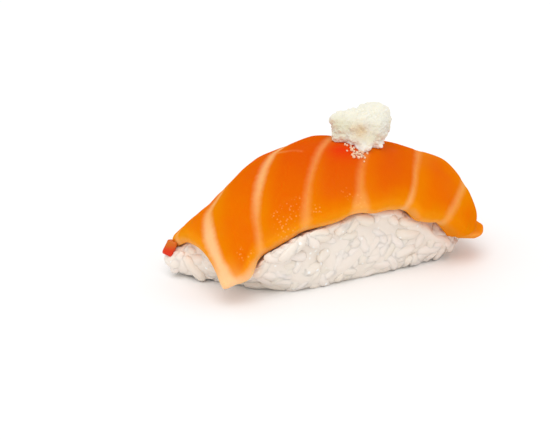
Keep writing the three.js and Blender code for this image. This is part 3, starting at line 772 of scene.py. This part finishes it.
# %% [markdown]
# ## The dollop of cheese
# Fresh cream cheese that is pulled off with a spoon is a lumpy, torn heap. Its large form is
# a ball that lobes push out, and its surface is made of curds: rounded lumps of different
# sizes with narrow creases between them, which are deepest round the torn foot. Each curd is
# the dome round a random point, worked out from the distance to the nearest point.

# %% Sizes of the dollop
CHEESE_PLACE = (5.7, -1.3, THICKNESS + 1.75)
CHEESE_SIZE = np.array([6.7, 6.1, 5.23])
BALL_RADIUS = 0.98
# Direction of each lobe, how far it pushes out and how wide it is.
LOBES = np.array([
    [0.67, -0.13, 0.73, 0.27, 0.55],
    [-0.84, 0.29, 0.57, 0.28, 0.34],
    [-0.33, 0.50, 0.80, -0.20, 0.26],
    [-0.99, 0.00, -0.17, 0.20, 0.32],
    [-0.43, -0.82, -0.37, 0.27, 0.34],
    [0.75, -0.58, -0.33, -0.14, 0.32],
    [-0.55, -0.80, 0.25, -0.12, 0.35],
    [0.30, 0.90, -0.20, 0.14, 0.45],
])
# Direction and reach of the painted shade in the hollow, and of a patch of painted shade beside it.
SHADE_SPOTS = np.array([[-0.55, -0.80, 0.25, 0.3], [-0.95, -0.15, 0.3, 0.4]])
# Number of curds, depth of their creases and seed, for large, middle and small curds.
CURDS = ((26, 0.085, 51), (110, 0.045, 52), (420, 0.022, 53))
# How far a crease reaches, for one curd alone, and the mean level of the curds.
CREASE_WIDTH, CURD_LEVEL = 2.2, 0.72
# How much deeper the creases get downwards: share, start and reach. Then the finest grain.
TORN_FOOT, CHEESE_GRAIN = (0.7, 0.1, 0.4), (0.006, 0.12, 16, 54)


def curds(unit, count, seed):
    """Distance from each direction to the nearest of the random directions, and to the next."""
    seeds = unit_rows(np.random.default_rng(seed).normal(size=(count, 3)))
    away = np.sqrt(np.maximum(2.0 - 2.0 * unit @ seeds.T, 0.0))
    two = np.partition(away, 1, axis=1)[:, :2]
    return two[:, 0], two[:, 1]


def dollop_radius(unit):
    """The ball's radius in a direction: lobes, large and small curds, and fine grain."""
    near = 2.0 - 2.0 * unit @ unit_rows(LOBES[:, :3]).T
    radius = BALL_RADIUS + (LOBES[:, 3] * np.exp(-near / LOBES[:, 4] ** 2)).sum(1)
    torn = 1.0 + ramp(-unit[:, 2], *TORN_FOOT)
    for count, depth, seed in CURDS:
        first, second = curds(unit, count, seed)
        crease = smooth((second - first) * math.sqrt(count) / CREASE_WIDTH)
        radius += depth * torn * (crease - CURD_LEVEL)
    return radius + waves(unit, *CHEESE_GRAIN)


def ball_grid(rows, columns):
    """Directions of a globe: rows of latitude between two poles, columns of longitude."""
    tilt = np.linspace(0.0, np.pi, rows + 2)[1:-1]
    turn = np.linspace(0.0, 2.0 * np.pi, columns, endpoint=False)
    tilt, turn = np.meshgrid(tilt, turn, indexing="ij")
    ring = np.stack([np.sin(tilt) * np.cos(turn), np.sin(tilt) * np.sin(turn), np.cos(tilt)], -1)
    unit = np.concatenate([ring.reshape(-1, 3), [[0.0, 0.0, 1.0], [0.0, 0.0, -1.0]]])
    body = grid_faces(rows, columns)
    seam = np.arange(rows - 1) * columns
    close = np.stack([seam + columns - 1, seam + 2 * columns - 1, seam + columns, seam], -1)
    first = np.arange(columns)
    after = (first + 1) % columns
    top = np.stack([first, after, np.full(columns, rows * columns)], -1)
    start = (rows - 1) * columns
    bottom = np.stack([start + after, start + first, np.full(columns, rows * columns + 1)], -1)
    faces = body.tolist() + close.tolist() + top.tolist() + bottom.tolist()
    return unit, np.array(faces, dtype=object)


print(sum(count for count, _, _ in CURDS), "curds")

# %% [markdown]
# The soft cheese takes the form of what it lies on: whatever would reach into the slice is
# lifted to just above its top. Seen from the dollop, the rim of the slice is far away.

# %% Make the dollop
REST_GAP = 0.05
FAR_FROM_RIM = 50.0


def rest_on_slice(points):
    """Lifts every place that would reach into the slice up to just above its top."""
    p, q, h = unbend(points)
    top = slice_top(p, q, np.full(np.shape(p), FAR_FROM_RIM)) + REST_GAP
    return np.where((h < top)[:, None], sheet(p, q, top), points)


def make_dollop():
    """The globe's directions times the radius, set on the slice and pressed onto it."""
    unit, faces = ball_grid(190, 340)
    foot = sheet(*(np.array(x) for x in CHEESE_PLACE))
    points = foot + unit * dollop_radius(unit)[:, None] * CHEESE_SIZE
    way = unit_rows(SHADE_SPOTS[:, :3])
    near = np.linalg.norm(unit[:, None, :] - way[None], axis=2) / SHADE_SPOTS[:, 3]
    # Masks of the painted shade: in the hollow and in a patch beside it.
    marks = {"hollow_shade": bell(near[:, 0]), "side_shade": bell(near[:, 1])}
    return make_mesh("cheese", rest_on_slice(points), faces, marks)


cheese = make_dollop()

# %% [markdown]
# ## Crumbs
# Crumbs have fallen off the dollop and lie on the fish: a small heap right in front of it and
# a few alone. They are small rough balls, so a few dozen faces each are enough.

# %% Make the crumbs
# p and q on the slice, and size, in mm, of the crumbs that lie alone.
CRUMBS = np.array([
    [0.9, -5.6, 0.7], [0.2, -7.2, 0.7], [1.0, -7.5, 0.7], [2.6, -6.4, 0.7], [3.6, -6.6, 0.5],
    [9.2, 4.8, 0.8],
])
# The small heap: its middle as p and q, its spread along both, and how many crumbs of which
# sizes it has.
HEAP_MIDDLE, HEAP_SPREAD, HEAP_COUNT, HEAP_SIZES = (1.4, -6.1), (0.8, 0.9), 34, (0.3, 0.6)
# How uneven a crumb's radius is, and how far its middle lies above the fish, both as shares.
CRUMB_ROUGHNESS, CRUMB_LIFT, CRUMB_SEED = 0.25, 0.22, 61


def make_crumbs():
    """Copies of a coarse globe, each with its own rough radius, on the top of the slice."""
    unit, faces = ball_grid(5, 9)
    random = np.random.default_rng(CRUMB_SEED)
    places = random.normal(HEAP_MIDDLE, HEAP_SPREAD, (HEAP_COUNT, 2))
    heap = np.column_stack([places, random.uniform(*HEAP_SIZES, HEAP_COUNT)])
    blocks, polygons = [], []
    for number, (p, q, size) in enumerate(np.concatenate([CRUMBS, heap])):
        p, q = np.array(p), np.array(q)
        top = slice_top(p, q, np.array(FAR_FROM_RIM))
        rough = 1.0 + random.uniform(-CRUMB_ROUGHNESS, CRUMB_ROUGHNESS, (len(unit), 1))
        blocks.append(sheet(p, q, top + CRUMB_LIFT * size) + unit * rough * size / 2)
        polygons += [[i + number * len(unit) for i in face] for face in faces]
    return make_mesh("cheese_crumbs", np.concatenate(blocks), np.array(polygons, dtype=object))


crumbs = make_crumbs()

# %% [markdown]
# ## Writing shader maths as Python
# A material's pattern is arithmetic on sockets. A small class wraps a socket, so that
# `1 - mask` or `gap * 2` adds the Math node by itself, and a bench adds every other node.

# %% The socket class and the bench
class Wire:
    """A socket of a material's nodes. Arithmetic on it adds a Math node and gives its result."""

    def __init__(self, bench, socket):
        self.bench, self.socket = bench, socket

    def maths(self, operation, *values):
        return self.bench.node("ShaderNodeMath", {"operation": operation}, dict(enumerate(values)))

    def __add__(self, other):
        return self.maths("ADD", self, other)

    def __sub__(self, other):
        return self.maths("SUBTRACT", self, other)

    def __rsub__(self, other):
        return self.maths("SUBTRACT", other, self)

    def __mul__(self, other):
        return self.maths("MULTIPLY", self, other)

    __radd__, __rmul__ = __add__, __mul__


class Bench:
    """Builds one material. node() adds any node: its type, its settings, then its inputs."""

    def __init__(self, name):
        self.material = bpy.data.materials.new(name)
        self.material.use_nodes = True
        self.tree = self.material.node_tree
        self.skin = self.tree.nodes["Principled BSDF"]

    def plug(self, socket, value):
        if isinstance(value, Wire):
            self.tree.links.new(value.socket, socket)
        else:
            socket.default_value = value

    def node(self, kind, settings=None, inputs=None, output=0):
        made = self.tree.nodes.new(kind)
        for key, value in (settings or {}).items():
            setattr(made, key, value)
        for key, value in (inputs or {}).items():
            self.plug(made.inputs[key], value)
        return Wire(self, made.outputs[output])

    def place(self):
        """Where the surface lies in the object, in metres."""
        return self.node("ShaderNodeTexCoord", output="Object")

    def mark(self, name):
        """A number that the mesh stores at its points."""
        return self.node("ShaderNodeAttribute", {"attribute_name": name}, output="Fac")

    def step(self, value, low, high):
        """0 where value is under low, 1 where it is over high, and a smooth S between."""
        settings = {"interpolation_type": "SMOOTHSTEP"}
        return self.node("ShaderNodeMapRange", settings, {0: value, 1: low, 2: high})

    def noise(self, place, scale, detail=3.0, rough=0.55):
        inputs = {"Vector": place, "Scale": scale, "Detail": detail, "Roughness": rough}
        return self.node("ShaderNodeTexNoise", None, inputs)

    def dots(self, place, scale, core, rim):
        """Small round dots, 1 in their core and 0 outside their rim, one in each cell."""
        away = self.node("ShaderNodeTexVoronoi", {"feature": "F1"}, {"Vector": place, "Scale": scale})
        return 1.0 - self.step(away, core, rim)

    def mix(self, share, first, second):
        """A colour between two colours."""
        settings = {"data_type": "RGBA", "blend_type": "MIX"}
        return self.node("ShaderNodeMix", settings, {0: share, 6: first, 7: second}, 2)

    def bump(self, height, strength, distance, normal=None):
        inputs = {"Height": height, "Strength": strength, "Distance": distance}
        if normal:
            inputs["Normal"] = normal
        return self.node("ShaderNodeBump", None, inputs)

    def finish(self, *pieces, **sockets):
        """Sets the sockets of the Principled shader by name and gives the pieces the finish."""
        for key, value in sockets.items():
            self.plug(self.skin.inputs[key.replace("_", " ")], value)
        for piece in pieces:
            piece.data.materials.clear()
            piece.data.materials.append(self.material)
        print(self.material.name, len(self.tree.nodes), "nodes")


def tint(red, green, blue):
    """A colour named by its screen values from 0 to 255, as the linear values of a shader."""
    screen = np.array([red, green, blue]) / 255.0
    linear = np.where(screen <= 0.04045, screen / 12.92, ((screen + 0.055) / 1.055) ** 2.4)
    return (*linear.tolist(), 1.0)


print("mid grey is", round(tint(128, 128, 128)[0], 3), "in linear light")

# %% [markdown]
# ## The finish of raw salmon
# Raw salmon is moist and lets light in for a few millimetres, red light deepest. The flesh is
# orange. High on the thick crown it is painted redder and darker, as painted shade, and towards
# its thin edges and ends and on the near side of each band it is more yellow; at the edges and
# ends that is painted light that comes through them. The fat is pale, almost cream where the
# line is wide, and its borders are soft and frayed. Faint fibres run through each band, and a
# few small bright points are painted glints. The cut edge is painted lighter and more yellow,
# as painted light that comes through it, and its rim is pale, most of all round the tongue.

# %% Finish the salmon
FLESH, SHADED_CROWN_FLESH, GOLDEN_FLESH = tint(226, 108, 2), tint(216, 82, 6), tint(226, 130, 2)
THIN_FLESH, END_FLESH, SHADE_RED_FLESH = tint(228, 128, 2), tint(230, 128, 4), tint(222, 52, 14)
FIBRE, GLOWING_EDGE_FLESH, GLINT_TINT = tint(240, 150, 12), tint(238, 150, 22), tint(255, 190, 110)
FAINT_FAT, WIDE_FAT, EDGE_FAT, TIP_FAT = (
    tint(244, 174, 84), tint(244, 188, 132), tint(248, 202, 150), tint(254, 204, 152))
# How far red, green and blue light travel in flesh, as shares of the scale.
FLESH_DEPTHS = (1.0, 0.3, 0.1)
# The fibres run on a slant: their turn, and how much the flat slab is squeezed for them.
FIBRE_TURN, FIBRE_SQUEEZE = (0, 0, 0.75), (2.6, 0.5, 1.0)
# Heights where painted shade reddens the flesh, and x where painted light yellows each end.
CROWN_FROM, CROWN_FULL = 14.5 * MM, 27.5 * MM
NEAR_END_FROM, NEAR_END_FULL, FAR_END_FROM, FAR_END_FULL = -25.0 * MM, -36.0 * MM, 20.0 * MM, 30.0 * MM


def flesh_colour(bench, place, inset, cloud):
    """Orange flesh: each step mixes in one more tint where its own mask says so."""
    height = bench.node("ShaderNodeSeparateXYZ", None, {0: place}, 2)
    along = bench.node("ShaderNodeSeparateXYZ", None, {0: place}, 0)
    # Painted shade: high on the thick crown the flesh is mixed towards a darker red.
    crown = bench.step(height, CROWN_FROM, CROWN_FULL)
    flesh = bench.mix(crown + (cloud - 0.5) * 0.6, FLESH, SHADED_CROWN_FLESH)
    golden = (1.0 - bench.step(bench.mark("band"), 0.05, 0.45)) * (1.0 - crown * 0.7)
    flesh = bench.mix(golden * 0.75, flesh, GOLDEN_FLESH)
    thin = 1.0 - bench.step(inset + (cloud - 0.5) * 3.0, 0.3, 4.8)
    flesh = bench.mix(thin * 0.85, flesh, THIN_FLESH)
    near_end = bench.step(along, NEAR_END_FROM, NEAR_END_FULL)
    ends = near_end + bench.step(along, FAR_END_FROM, FAR_END_FULL) * 0.6
    flesh = bench.mix(ends * 0.7, flesh, END_FLESH)
    # Painted shade: in front of the cheese's foot the flesh is mixed towards a darker red.
    return bench.mix(bench.mark("cheese_shade") * 0.9, flesh, SHADE_RED_FLESH)


def finish_salmon():
    bench = Bench("raw salmon")
    flat = bench.node("ShaderNodeUVMap", {"uv_map": "sheet"})
    place = bench.place()
    gap, inset = bench.mark("fat_gap"), bench.mark("inset")
    cloud = bench.noise(place, 90.0)
    flesh = flesh_colour(bench, place, inset, cloud)
    turned = bench.node("ShaderNodeMapping", None, {0: flat, 2: FIBRE_TURN, 3: FIBRE_SQUEEZE})
    fibre = bench.noise(turned, 210.0, 4.0, 0.6)
    flesh = bench.mix(bench.step(fibre, 0.5, 0.8) * 0.12, flesh, FIBRE)
    fray = bench.noise(flat, 80.0, 4.0) - 0.5
    soft = 1.0 - bench.mark("cut_edge") * 0.85
    near = bench.mark("near_corner")
    # Painted light: near the rim the flesh is mixed towards a lighter yellow, as light that comes
    # through the thin edge.
    edge = 1.0 - bench.step(inset + fray * 0.8, -0.2, near * 2.2 + 2.4)
    flesh = bench.mix(edge * soft * 0.75, flesh, GLOWING_EDGE_FLESH)
    fat = 1.0 - bench.step(gap + fray * 0.6, -0.6, 0.85)
    pale = bench.mark("paleness")
    lined = bench.mix(fat * pale, flesh, bench.mix(pale, FAINT_FAT, WIDE_FAT))
    # Painted highlights: small bright dots in a few places, painted as glints.
    glint_speck = bench.dots(place, 1500.0, 0.12, 0.42) * bench.step(bench.mark("painted_glints"), 0.2, 0.7)
    lined = bench.mix(glint_speck * 0.32, lined, GLINT_TINT)
    edge = 1.0 - bench.step(inset + fray * 0.6, -0.3, near * 1.2 + 0.6)
    colour = bench.mix(edge * soft * (near * 0.6 + 0.25), lined, EDGE_FAT)
    colour = bench.mix(bench.mark("pale_tip") * 0.85, colour, TIP_FAT)
    grain = bench.noise(place, 900.0)
    bump = bench.bump(grain + glint_speck * 0.6, 0.1, 0.5 * MM)
    bump = bench.bump(fibre, 0.1, 0.5 * MM, bump)
    bench.finish(
        salmon, Base_Color=colour, Normal=bump, Roughness=0.36 + grain * 0.2,
        Subsurface_Weight=0.3, Subsurface_Radius=FLESH_DEPTHS, Subsurface_Scale=1.8 * MM,
        Specular_IOR_Level=0.0,
        Coat_Weight=bench.step(cloud, 0.45, 0.7) * 0.04, Coat_Roughness=0.15,
    )


finish_salmon()

# %% [markdown]
# The scrap is darker and redder flesh, mottled, and turns orange at the top, where it joins
# the slice.

# %% Finish the scrap
SCRAP_RED, SCRAP_MOTTLE, SCRAP_TOP = tint(214, 48, 8), tint(196, 78, 8), tint(206, 104, 12)
TOP_FROM, TOP_FULL = 5.5 * MM, 7.2 * MM


def finish_scrap():
    bench = Bench("red scrap")
    place = bench.place()
    cloud = bench.noise(place, 500.0)
    height = bench.node("ShaderNodeSeparateXYZ", None, {0: place}, 2)
    red = bench.mix(bench.step(cloud, 0.4, 0.6), SCRAP_RED, SCRAP_MOTTLE)
    colour = bench.mix(bench.step(height, TOP_FROM, TOP_FULL), red, SCRAP_TOP)
    bench.finish(
        scrap, Base_Color=colour, Roughness=0.35,
        Subsurface_Weight=0.3, Subsurface_Radius=FLESH_DEPTHS, Subsurface_Scale=0.8 * MM,
        Specular_IOR_Level=0.2, Coat_Weight=0.1, Coat_Roughness=0.15,
    )


finish_scrap()

# %% [markdown]
# ## The finish of cooked rice
# A cooked grain is milky: light goes in and comes out again close by, so the shadows between
# the grains stay soft and bright. No two grains are quite the same white, and right at the
# fish they are painted with a little of its colour, as painted reflected light. Their skin is
# moist, and small bright points are painted on as glints.

# %% Finish the rice
GRAIN_WHITE, GRAIN_CREAM = tint(241, 231, 224), tint(235, 225, 210)
RICE_GLINT, FISH_BOUNCE_TINT = tint(255, 255, 253), tint(248, 218, 196)


def finish_rice():
    bench = Bench("cooked rice")
    place = bench.place()
    cloud = bench.noise(place, 260.0)
    shade = bench.mark("grain_shade")
    colour = bench.mix(shade * 0.6 + cloud * 0.4, GRAIN_WHITE, GRAIN_CREAM)
    # Painted highlights: small white dots on the grains, painted as glints.
    rice_glint = bench.dots(place, 520.0, 0.08, 0.24) * bench.step(cloud, 0.5, 0.56)
    colour = bench.mix(rice_glint, colour, RICE_GLINT)
    # Painted reflected light: next to the fish the rice is mixed towards the fish's colour.
    colour = bench.mix(bench.mark("fish_bounce") * 0.35, colour, FISH_BOUNCE_TINT)
    bump = bench.bump(bench.noise(place, 1400.0), 0.08, 0.3 * MM)
    bench.finish(
        rice_grains, rice_core, Base_Color=colour, Normal=bump, Roughness=0.3 + cloud * 0.2,
        Subsurface_Weight=0.4, Subsurface_Radius=(1.0, 0.95, 0.9), Subsurface_Scale=0.3 * MM,
        Specular_IOR_Level=0.35, Coat_Weight=0.2, Coat_Roughness=0.12,
    )


finish_rice()

# %% [markdown]
# ## The finish of fresh cheese
# The cheese is matt and dense, a warm white with greyer patches. It is painted whitest at its
# torn foot and lighter on top, as painted light, and a darker cream in the hollow and beside it,
# as painted shade, with the fish's reflected colour in the hollow.

# %% Finish the cheese
CHEESE_WHITE, CHEESE_CREAM, CHEESE_GREY = tint(225, 220, 203), tint(220, 212, 186), tint(216, 212, 204)
LIT_CHEESE_TOP, LIT_CHEESE_FOOT = tint(236, 233, 218), tint(248, 246, 236)
SIDE_SHADE_CREAM, HOLLOW_SHADE_TINT = tint(206, 202, 168), tint(214, 182, 136)
LIT_TOP_FROM, LIT_TOP_FULL, FOOT_FULL, FOOT_END = 29.8 * MM, 32.5 * MM, 25.8 * MM, 28.0 * MM


def finish_cheese():
    bench = Bench("fresh cheese")
    place = bench.place()
    cloud = bench.noise(place, 150.0, 4.0)
    colour = bench.mix(bench.step(cloud, 0.35, 0.7), CHEESE_WHITE, CHEESE_CREAM)
    patches = bench.noise(place, 420.0)
    colour = bench.mix(bench.step(patches, 0.45, 0.6) * 0.5, colour, CHEESE_GREY)
    height = bench.node("ShaderNodeSeparateXYZ", None, {0: place}, 2)
    # Painted light: the top of the dollop is mixed towards a lighter white.
    colour = bench.mix(bench.step(height, LIT_TOP_FROM, LIT_TOP_FULL) * 0.8, colour, LIT_CHEESE_TOP)
    # Painted light: the downward-facing foot, which lies in shade, is mixed towards the whitest tint.
    foot = 1.0 - bench.step(height, FOOT_FULL, FOOT_END)
    colour = bench.mix(foot * 0.8, colour, LIT_CHEESE_FOOT)
    # Painted shade: a darker cream beside the hollow, and in the hollow a tan with the fish's
    # reflected colour.
    colour = bench.mix(bench.mark("side_shade") * 0.55, colour, SIDE_SHADE_CREAM)
    colour = bench.mix(bench.mark("hollow_shade") * 0.7, colour, HOLLOW_SHADE_TINT)
    bump = bench.bump(bench.noise(place, 1500.0, 5.0, 0.65), 0.3, 0.4 * MM)
    bench.finish(
        cheese, Base_Color=colour, Normal=bump, Roughness=0.6,
        Subsurface_Weight=0.4, Subsurface_Radius=(1.0, 0.9, 0.7), Subsurface_Scale=1.2 * MM,
        Specular_IOR_Level=0.2,
    )


finish_cheese()

# %% [markdown]
# The crumbs are so small that the moist fish stains them through: they are a pale salmon
# colour, each a little different.

# %% Finish the crumbs
CRUMB_ORANGE, CRUMB_CREAM = tint(250, 190, 150), tint(244, 214, 186)


def finish_crumbs():
    bench = Bench("stained crumbs")
    cloud = bench.noise(bench.place(), 900.0)
    colour = bench.mix(cloud, CRUMB_ORANGE, CRUMB_CREAM)
    bench.finish(
        crumbs, Base_Color=colour, Roughness=0.5,
        Subsurface_Weight=0.5, Subsurface_Radius=(1.0, 0.8, 0.6), Subsurface_Scale=0.8 * MM,
        Specular_IOR_Level=0.3,
    )


finish_crumbs()

# %% [markdown]
# ## Floor, light and camera
# The food stands on a pale floor in soft studio light: an even white surround, which keeps
# the shadows open, and one large soft light high above the near front corner.

# %% Floor and light
# Half the floor's side and its depth below the food, in mm.
FLOOR_HALF, FLOOR_BELOW = 1500.0, 0.02
FLOOR_WHITE, FLOOR_GREY = tint(250, 250, 250), tint(248, 248, 248)
# Direction of the light, how many degrees wide it seems, its strength, and the surround's.
LIGHT_PLACE, LIGHT_SPREAD, LIGHT_POWER = (-0.35, -0.45, 0.9), 50.0, 1.0
SURROUND_COLOUR, SURROUND_POWER = (1.0, 1.0, 1.0, 1.0), 0.85


def add_floor():
    bench = Bench("pale floor")
    corners = FLOOR_HALF * np.array([[-1, -1, 0], [1, -1, 0], [1, 1, 0], [-1, 1, 0]])
    floor = make_mesh("floor", corners - [0.0, 0.0, FLOOR_BELOW], np.array([[0, 1, 2, 3]]))
    cloud = bench.noise(bench.place(), 3.0, 2.0)
    bench.finish(floor, Base_Color=bench.mix(cloud, FLOOR_WHITE, FLOOR_GREY), Roughness=0.7)


def add_light():
    """A distant light that shines from its place towards the food, as soft as its spread."""
    data = bpy.data.lights.new("key light", "SUN")
    data.angle, data.energy = math.radians(LIGHT_SPREAD), LIGHT_POWER
    light = bpy.data.objects.new("key light", data)
    bpy.context.scene.collection.objects.link(light)
    light.location = LIGHT_PLACE
    light.rotation_euler = (-light.location).to_track_quat("-Z", "Y").to_euler()


def add_surround():
    world = bpy.data.worlds.new("studio")
    bpy.context.scene.world = world
    world.use_nodes = True
    background = world.node_tree.nodes["Background"]
    background.inputs["Color"].default_value = SURROUND_COLOUR
    background.inputs["Strength"].default_value = SURROUND_POWER


add_floor()
add_light()
add_surround()
bpy.context.scene.view_settings.view_transform = "Standard"

# %% [markdown]
# The camera looks along the front side from the near end, a little from above, with a long
# lens close to the table.

# %% Camera
# Turn and lift of the view, what it aims at and from how far, in metres, and the lens in mm.
CAMERA_TURN, CAMERA_LIFT = math.radians(-31.1), math.radians(17.84)
CAMERA_AIM = np.array([-9.04, 7.46, 8.97]) * MM
CAMERA_AWAY, CAMERA_LENS, CAMERA_SENSOR, CAMERA_CLIP = 0.2765, 85.0, 36.0, 0.01

camera_data = bpy.data.cameras.new("camera")
camera_data.lens, camera_data.sensor_width = CAMERA_LENS, CAMERA_SENSOR
camera_data.clip_start = CAMERA_CLIP
camera = bpy.data.objects.new("camera", camera_data)
bpy.context.scene.collection.objects.link(camera)
back = np.array([
    math.sin(CAMERA_TURN) * math.cos(CAMERA_LIFT),
    -math.cos(CAMERA_TURN) * math.cos(CAMERA_LIFT),
    math.sin(CAMERA_LIFT),
])
camera.location = CAMERA_AIM + CAMERA_AWAY * back
camera.rotation_mode = "QUATERNION"
camera.rotation_quaternion = (-Vector(back)).to_track_quat("-Z", "Y")
bpy.context.scene.camera = camera

# %% [markdown]
# ## Each piece stands for its node
# The pieces ride on the one body and take the place of the plain solids.

# %% Hand the pieces over
for piece, node, slot in (
    (salmon, "salmon_slice", "raw_salmon"),
    (scrap, "salmon_slice", "raw_salmon"),
    (rice_core, "rice_pad", "cooked_rice"),
    (rice_grains, "rice_pad", "cooked_rice"),
    (cheese, "cream_cheese", "fresh_cheese"),
    (crumbs, "cream_cheese", "fresh_cheese"),
):
    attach(piece, "root")
    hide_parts(node)
